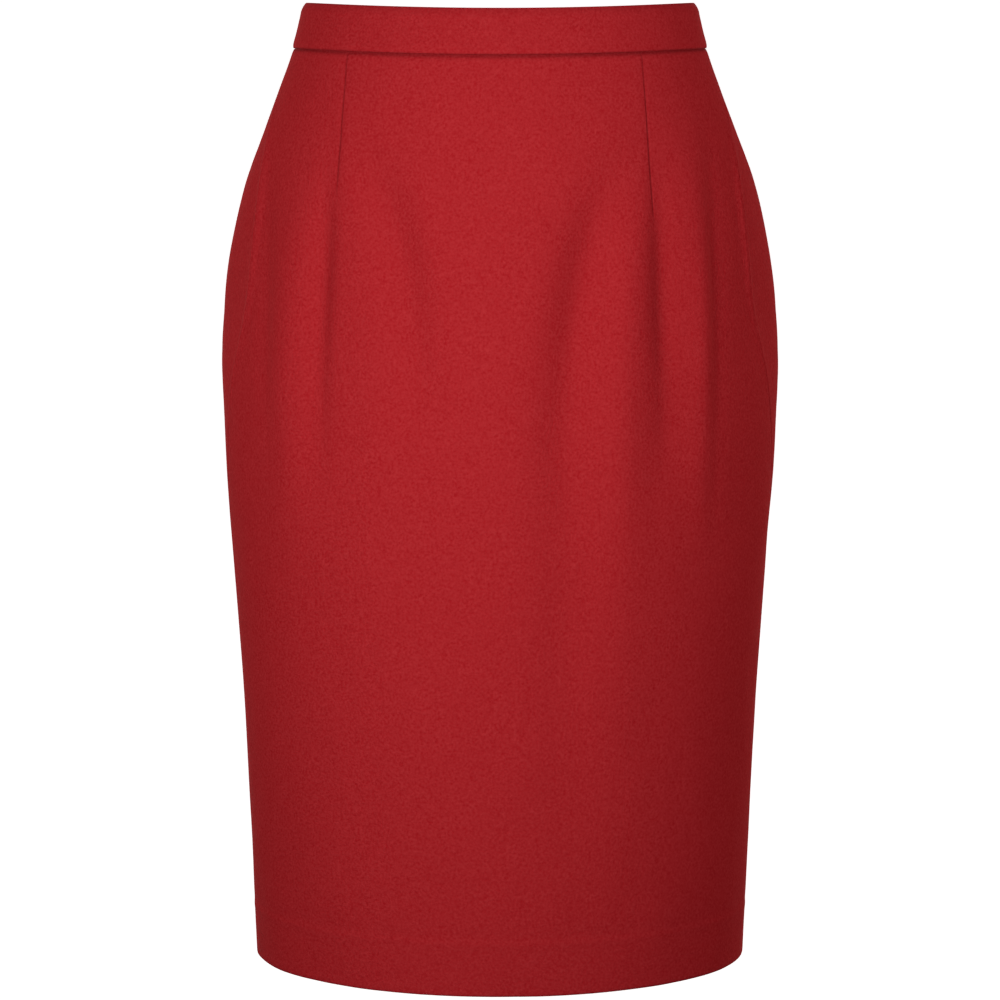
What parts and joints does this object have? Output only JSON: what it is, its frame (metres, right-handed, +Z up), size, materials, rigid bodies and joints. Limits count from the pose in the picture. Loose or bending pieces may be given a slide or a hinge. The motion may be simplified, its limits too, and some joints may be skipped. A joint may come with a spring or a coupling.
{
  "type": "pencil skirt",
  "caption": "Knee-length pencil skirt, hollow as worn: darted panels that taper to a level hem, a contoured waistband, a concealed back zip with a swinging pull tab, and a back vent.",
  "frame": {"origin": "the middle of the waist, level with the sides of the seam under the waistband, where the wearer's waist carries the skirt", "axes": "+Z up, out of the waist; the front faces -Y; +X is the wearer's left"},
  "size_m": [0.3592, 0.2526, 0.616],
  "materials": {
    "wool_crepe": "matt, finely pebbled wool crepe",
    "zip_tape": "smooth woven polyester tape",
    "zip_coil": "moulded polyester coil",
    "enamelled_metal": "baked enamel, matched to the cloth"
  },
  "bodies": {
    "skirt": {"front_panel": "wool_crepe", "back_panel_left": "wool_crepe", "back_panel_right": "wool_crepe", "waistband": "wool_crepe", "zip_tape_left": "zip_tape", "zip_tape_right": "zip_tape", "zip_coil": "zip_coil", "zip_slider": "enamelled_metal"},
    "pull": {"zip_pull": "enamelled_metal"}
  },
  "joints": [
    {"name": "pull_hinge", "type": "hinge", "parent": "skirt", "child": "pull", "pos_m": [0, 0.09609, 0.01193], "axis": [1, 0, 0], "range_deg": [0, 160]}
  ]
}
